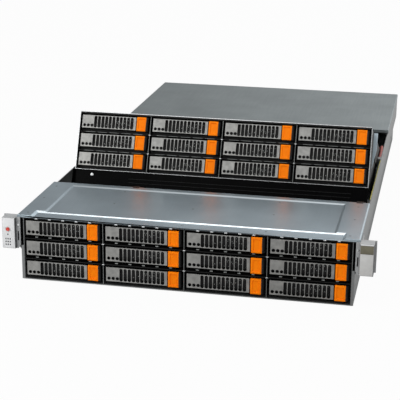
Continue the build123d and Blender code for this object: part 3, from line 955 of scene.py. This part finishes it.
# %% [markdown]
# ## Trim of the banks
#
# Thin bright lines make a bank read as sheet metal: the cut front edges of the upright dividers,
# small tabs where the shelves hook through them, long dashes of spring strip on the cage's
# shelves, and the folded lip along its top. Each line is one small strip, repeated.

# %% Divider edges and shelf tabs
EDGE_WIDTH, EDGE_FRONT, EDGE_BACK = 0.55 * MM, -0.12 * MM, 0.3 * MM
TAB_WIDTH, TAB_TALL, TAB_FRONT, TAB_BACK = 3.0 * MM, 0.9 * MM, -0.2 * MM, 1.0 * MM
for bank, matrix in BANKS.items():
    edge_high = (EDGE_WIDTH / 2, EDGE_BACK, BANK_HEIGHT - SHELF)
    edge_low = (-EDGE_WIDTH / 2, EDGE_FRONT, SHELF)
    edge = strip("divider_edge", edge_low, edge_high, THIN, bare_edge)
    lines = [(line - COLUMNS / 2) * COLUMN_PITCH for line in range(1, COLUMNS)]
    edges = repeat(edge, [(x, 0, 0) for x in lines])
    tab_low, tab_high = (-TAB_WIDTH / 2, TAB_FRONT, 0), (TAB_WIDTH / 2, TAB_BACK, TAB_TALL)
    tab = strip("shelf_tab", tab_low, tab_high, FINE, nickel)
    tabs = repeat(tab, [(x, 0, row * ROW_PITCH) for x in lines for row in range(1, ROWS)])
    trim = join(bank + "_divider_edges", [edges, tabs])
    place(trim, matrix, BANK_BODY[bank])

# %% Spring strips on the shelves
DASH_WIDTH, DASH_LOW, DASH_TALL = 14.0 * MM, 0.2 * MM, 0.55 * MM
DASH_FRONT, DASH_BACK = -0.1 * MM, 1.0 * MM
TOP_FINGER_FRONT, TOP_FINGER_BACK = 0.1 * MM, 1.2 * MM
TOP_FINGER_LOW, TOP_FINGER_HIGH = -0.1 * MM, 1.2 * MM
finger_places = [FIRST_FINGER + index * FINGER_PITCH for index in range(FINGERS)]
dash_high = (DASH_WIDTH / 2, DASH_BACK, DASH_LOW + DASH_TALL)
dash = strip("dash", (-DASH_WIDTH / 2, DASH_FRONT, DASH_LOW), dash_high, STRIP_EDGE, bare_edge)
strips = repeat(dash, [
    (column_middle(column) + x, 0, row * ROW_PITCH)
    for column in range(COLUMNS) for row in range(1, ROWS) for x in finger_places
])
strips.name = "cage_spring_strips"
place(strips, raised_bank, "cage")
finger_low = (-FINGER_WIDTH / 2, TOP_FINGER_FRONT, TOP_FINGER_LOW)
finger_high = (FINGER_WIDTH / 2, TOP_FINGER_BACK, TOP_FINGER_HIGH)
finger = strip("top_finger", finger_low, finger_high, FINE, nickel)
fingers = repeat(finger, [
    (column_middle(column) + x, 0, ROWS * ROW_PITCH)
    for column in range(COLUMNS) for x in finger_places
])
fingers.name = "front_top_fingers"
place(fingers, front_bank, "chassis")

# %% Corner strips beside the front bank
STRIP_INNER, STRIP_OUTER = 210.6 * MM, 214.0 * MM
STRIP_FRONT, STRIP_BACK = -0.35 * MM, 0.1 * MM
STRIP_LOW, STRIP_TOP = 0.3 * MM, 46.0 * MM
for side, label in ((-1, "left"), (1, "right")):
    edges = sorted((side * STRIP_OUTER, side * STRIP_INNER))
    strip_low, strip_high = (edges[0], STRIP_FRONT, STRIP_LOW), (edges[1], STRIP_BACK, STRIP_TOP)
    corner = strip(label + "_corner_strip", strip_low, strip_high, FINE, zinc_wall)
    place(corner, chassis_frame, "chassis")

# %% Lip and frame lines of the cage
LIP_TALL, LIP_TOP = 0.9 * MM, BANK_HEIGHT + 2.0 * MM
FLOOR_LINE_LOW, FLOOR_LINE_HIGH, SIDE_LINE = -0.05 * MM, 0.5 * MM, 0.7 * MM
LONG_FRONT, LONG_BACK, UPRIGHT_FRONT, UPRIGHT_BACK = -0.15 * MM, 1.0 * MM, -0.1 * MM, 0.4 * MM


def long_line(name, half, low, high):
    low, high = (-half, LONG_FRONT, low), (half, LONG_BACK, high)
    return strip(name, low, high, STRIP_EDGE, nickel)


def upright_line(name, left, right):
    low, high = (left, UPRIGHT_FRONT, 0), (right, UPRIGHT_BACK, BANK_HEIGHT)
    return strip(name, low, high, STRIP_EDGE, nickel)


lines = [
    long_line("lip_line", BANK_HALF, LIP_TOP - LIP_TALL, LIP_TOP),
    long_line("floor_line", CAGE_HALF, FLOOR_LINE_LOW, FLOOR_LINE_HIGH),
    upright_line("left_line", -CAGE_HALF, -CAGE_HALF + SIDE_LINE),
    upright_line("right_line", CAGE_HALF - SIDE_LINE, CAGE_HALF),
]
place(join("cage_frame_lines", lines), raised_bank, "cage")

# %% [markdown]
# ## Small fixings
#
# Rivets and screws are low domes: a short rod whose front edge is rounded by a bevel. A few of
# them sit where the picture shows a speck. The covers' hems stand a little off the walls, and the
# shadow in that thin gap is painted as a black strip. The black baffle has two long pressed beads
# across its foot.

# %% Screws and rivets
SUNK, HEAD_ROUND = 0.3 * MM, 0.45


def screw_head(radius, rise, axis, side=1):
    """A low round head that rises along one axis, with its underside in the sheet."""
    start = [0, 0, 0]
    start["XYZ".index(axis)] = -SUNK if side > 0 else -rise
    head = rod("screw_head", start, radius, rise + SUNK, axis=axis, vertices=14)
    return bevel(head, min(rise, radius) * HEAD_ROUND, segments=2, angle=60)


def strip_mm(name, corners, round_width, material):
    """A strip whose two corners are written in millimetres."""
    low, high = (Vector(corner) * MM for corner in corners)
    return strip(name, low, high, round_width, material)


def scatter(name, source, spots, matrix=chassis_frame, body="chassis"):
    """Copies of a small piece at points in millimetres, joined, named and laid down."""
    whole = repeat(source, [Vector(spot) * MM for spot in spots])
    whole.name = name
    place(whole, matrix, body)


COVER_TOP = 87.0
RIVET_COLUMNS = (-208, -111, -5, 101.4, 205.5)
# Each row's place behind the front, and how far the sunk panel lies there, in millimetres.
RIVET_ROWS = {12: 2.6, 77: 1.3, 131: 1.3}
STRIP_REAR, STRIP_HALF, PANEL_HALF = 21, 199, 187
rivet = finish_with(screw_head(1.6 * MM, 0.12 * MM, "Z"), zinc_plain)
spots = []
for x in RIVET_COLUMNS:
    for y, sunk in RIVET_ROWS.items():
        on_border = abs(x) > (PANEL_HALF if y > STRIP_REAR else STRIP_HALF)
        spots.append((x, y, COVER_TOP if on_border else COVER_TOP - sunk))
scatter("cover_rivets", rivet, spots)

# %% Rear tabs of the covers, and painted shadow under their hems
TAB_SPOTS = ((-100, 0, 0), (206, 0, 0))
TAB_CORNERS = ((-4.5, 147, 86.2), (4.5, 155.5, 87.1))
tab = strip_mm("cover_tab", TAB_CORNERS, PRESSED, ink)
scatter("cover_rear_tabs", tab, TAB_SPOTS)

# Thin black strips in the gap between the covers' hems and the walls: painted shadow.
GAP_INNER, GAP_OUTER = 218.4 * MM, 218.8 * MM
GAP_LOW, GAP_HIGH = 81.0 * MM, 82.1 * MM
COVER_SPANS = {"front_cover": (0.5 * MM, 151.0 * MM), "rear_cover": (556.5 * MM, 829.0 * MM)}
for name, (start, end) in COVER_SPANS.items():
    gaps = []
    for side in (-1, 1):
        edges = sorted((side * GAP_INNER, side * GAP_OUTER))
        gaps.append(block("painted_hem_shadow", (edges[0], start, GAP_LOW), (edges[1], end, GAP_HIGH)))
    gap = finish_with(join(name + "_painted_hem_shadows", gaps), nylon_and_painted_shade)
    place(gap, chassis_frame, "chassis")

# %% Beads and screw of the baffle
BEAD_HEIGHTS = (-10.5, -16.0)
BEAD_CORNERS = ((-130, -4.1, -0.35), (188, -3.5, 0.35))
bead = strip_mm("baffle_bead", BEAD_CORNERS, PRESSED, ink)
scatter("baffle_beads", bead, [(0, 0, z) for z in BEAD_HEIGHTS], raised_bank)
BAFFLE_SCREW = (-184, -3.7, -7.5)
baffle_screw = finish_with(screw_head(2.2 * MM, 1.0 * MM, "Y", side=-1), nickel)
scatter("baffle_screws", baffle_screw, [BAFFLE_SCREW], raised_bank)

# %% Rivets of the walls
WALL_OUT, LOWER_OUT, WALL_STEP = 218.5, 214.0, 46
WALL_RIVETS = ((788, 10), (764, 12), (600, 8), (284, 29), (250, 12), (656, 50))
for side, label in ((1, "right"), (-1, "left")):
    wall_rivet = finish_with(screw_head(1.5 * MM, 0.25 * MM, "X", side=side), ink)
    scatter(label + "_wall_rivets", wall_rivet, [
        (side * (WALL_OUT if z > WALL_STEP else LOWER_OUT), y, z) for y, z in WALL_RIVETS
    ])

# %% [markdown]
# ## Edge rubber and the cable
#
# The wall's sharp top edge beside the cage wears a strip of yellow edge rubber, so that the cable
# there is not cut. It stays clear of the cage's bracket, which passes it as the cage goes down.
# The cable is held along the wall, so its tube is a copy of the frame's.

# %% Edge rubber
TRIM_START, TRIM_END = 184 * MM, 387 * MM
TRIM_INNER, TRIM_OUTER = 216.75 * MM, 217.9 * MM
TRIM_LOW, TRIM_TOP = 80.2 * MM, 82.5 * MM
trim_low, trim_high = (TRIM_INNER, TRIM_START, TRIM_LOW), (TRIM_OUTER, TRIM_END, TRIM_TOP)
trim = block("edge_rubber", trim_low, trim_high)
finish_with(bevel(trim, SOFT), yellow_trim)
place(trim, chassis_frame, "chassis")

# %% The cable on the right wall
rounded_copy("harness", "right_wall_cable", 0, red_sleeve, "chassis")

# %% [markdown]
# ## Ears
#
# Each ear is a housing of silver-painted plastic. Its sides are painted dark grey as shade, and
# the same grey frames its front as a seam round the panels. The left ear's front panel is a
# lighter copy of the silver, painted light, and so is a strip along the right ear's top, a painted
# highlight. The left one carries the power button and plain lamps under it. The right one has a
# grey-brown upper band and a pale bare panel below it.

# %% Ears
EAR_INNER, EAR_OUTER = 219.4 * MM, 236.8 * MM
EAR_FRONT, EAR_LOW, EAR_HIGH = -8.0 * MM, 43.0 * MM, 84.0 * MM
EAR_DEEP, FRONT_DEEP = 6.0 * MM, 0.5 * MM
ears = rounded_copy("ears", "shaped_ears", 0, silver, "chassis")


def on_ear_side(polygon):
    """The ears' sides, painted dark as shade, and the front that shows as a seam round the panels.
    """
    behind = polygon.center.y - front_plane
    on_front = polygon.normal.y < -0.9 and behind < EAR_FRONT + FRONT_DEEP
    return behind < EAR_DEEP and (abs(polygon.normal.x) > 0.7 or on_front)


# The ears' sides get the dark grey as painted shade; on the front it shows as a seam round the
# panels.
paint(ears, side_shade_and_seam_grey, on_ear_side)


def ear_panel(name, x0, x1, z0, z1, material, proud=0.25):
    """A thin raised panel on an ear's front face."""
    panel = block(name, (x0, EAR_FRONT - proud * MM, z0), (x1, EAR_FRONT + FRONT_DEEP, z1))
    bevel(panel, PRESSED, segments=2)
    finish_with(panel, material)
    place(panel, chassis_frame, "chassis")


PANEL_SIDE, TOP_MARGIN = 0.8 * MM, 0.2 * MM
LEFT, RIGHT = EAR_INNER + PANEL_SIDE, EAR_OUTER - PANEL_SIDE
TOP_LOW, TOP = 82.5 * MM, EAR_HIGH - TOP_MARGIN
BAND_LOW, BAND_HIGH = 71.8 * MM, 82.2 * MM
PALE_LOW, PALE_HIGH = 43.9 * MM, 71.5 * MM
# The lighter silver panels are painted light, and the right ear's top strip is a painted
# highlight.
ear_panel("right_ear_top", LEFT, RIGHT, TOP_LOW, TOP, painted_light_silver, 0.05)
ear_panel("left_ear_panel", -RIGHT, -LEFT, EAR_LOW + PANEL_SIDE, TOP, painted_light_silver, 0.03)
ear_panel("right_ear_band", LEFT, RIGHT, BAND_LOW, BAND_HIGH, shade)
ear_panel("right_ear_panel", LEFT, RIGHT, PALE_LOW, PALE_HIGH, pale)

# %% Button, lamps and web of the ears
BUTTON_X, BUTTON_Z = -228.8 * MM, 69.0 * MM
RING_RADIUS, RING_WIRE, RING_PROUD = 3.1 * MM, 0.45 * MM, 0.1 * MM
bpy.ops.mesh.primitive_torus_add(
    major_radius=RING_RADIUS,
    minor_radius=RING_WIRE,
    major_segments=28,
    minor_segments=8,
    location=(BUTTON_X, EAR_FRONT - RING_PROUD, BUTTON_Z),
    rotation=(pi / 2, 0, 0),
)
ring = finish_with(settle(bpy.context.object), pale)
ring.name = "button_ring"
place(ring, chassis_frame, "chassis")
rounded_copy("power_button", "red_power_button", 0.3 * MM, red, "button")

EAR_FACE, LAMP_X, TOP_LAMP_Z = EAR_FRONT / MM, BUTTON_X / MM, 62.0
LAMP_ROWS, LAMP_COLUMNS = (56.0, 52.2, 48.4), (-231.6, -228.8, -226.0)
lamp_dot = finish_with(screw_head(1.05 * MM, 0.12 * MM, "Y", side=-1), ink)
lamp_spots = [(x, EAR_FACE, z) for x in LAMP_COLUMNS for z in LAMP_ROWS]
lamp_spots.append((LAMP_X, EAR_FACE, TOP_LAMP_Z))
scatter("left_ear_lamps", lamp_dot, lamp_spots)

WEB_X, WEB_FRONT, WEB_SCREW_Z = 217.0, -2.0, 74.0
WEB_SLOT_CORNERS = ((-1.0, WEB_FRONT - 0.06, 53), (1.0, WEB_FRONT + 0.3, 65))
web_screw = finish_with(screw_head(1.5 * MM, 0.6 * MM, "Y", side=-1), nickel)
scatter("web_screws", web_screw, [(side * WEB_X, WEB_FRONT, WEB_SCREW_Z) for side in (-1, 1)])
# Each web's slot is a thin black strip: painted shade for the dark inside of the slot.
painted_web_slot_shade = strip_mm("painted_web_slot_shade", WEB_SLOT_CORNERS, THIN / 2, nylon_and_painted_shade)
scatter("painted_web_slot_shades", painted_web_slot_shade, [(side * WEB_X, 0, 0) for side in (-1, 1)])

# %% [markdown]
# ## Rear modules
#
# From behind, two power supplies and two control modules fill the rear wall. Their faces are cut
# with fan grilles of round holes and two rows of port openings, with black inside.

# %% Rear modules
modules = rounded_copy("rear_modules", "shaped_rear_modules", 0.4 * MM, zinc_plain, "chassis")
PORT_DEPTH, PAST_REAR = 6 * MM, 2 * MM
FAN_X, FAN_Z = 188.8 * MM, 21.5 * MM
FAN_RINGS = ((5.5 * MM, 6), (11.0 * MM, 12), (15.5 * MM, 18))
HOLE_RADIUS, HOLE_START, HOLE_LENGTH = 1.9 * MM, 2.5 * MM, 6 * MM
# For each kind of port in millimetres: the first one's left side, the step from one to the
# next, how many there are, the width, and the bottom and the top above its module's own.
PORTS = ((-96, 22, 4, 16, 6, 14), (20, 26, 3, 18, 5, 17))
CONTROL_BOTTOMS = (8.0, 48.0)
BLACK_FROM, BLACK_TO = rear_plane - 20 * MM, rear_plane - 0.9 * MM


def grille_holes(x, z):
    """A ring pattern of holes, as stamped over a fan."""
    holes = []
    for ring_radius, count in FAN_RINGS:
        for index in range(count):
            turn = 2 * pi * index / count
            across, above = x + ring_radius * cos(turn), z + ring_radius * sin(turn)
            spot = (across, rear_plane - HOLE_START, above)
            holes.append(rod("hole", spot, HOLE_RADIUS, HOLE_LENGTH, vertices=8))
    cut(modules, join("holes", holes))


for side in (-1, 1):
    grille_holes(side * FAN_X, FAN_Z)
for bottom in CONTROL_BOTTOMS:
    for first, step, count, width, low, high in PORTS:
        for index in range(count):
            x = first + index * step
            port_low = (x * MM, rear_plane - PORT_DEPTH, (bottom + low) * MM)
            port_high = ((x + width) * MM, rear_plane + PAST_REAR, (bottom + high) * MM)
            cut(modules, block("port_cutter", port_low, port_high))
paint(modules, nylon_and_painted_shade, lambda side: BLACK_FROM < side.center.y < BLACK_TO)
print("rear modules", len(modules.data.polygons), "faces")
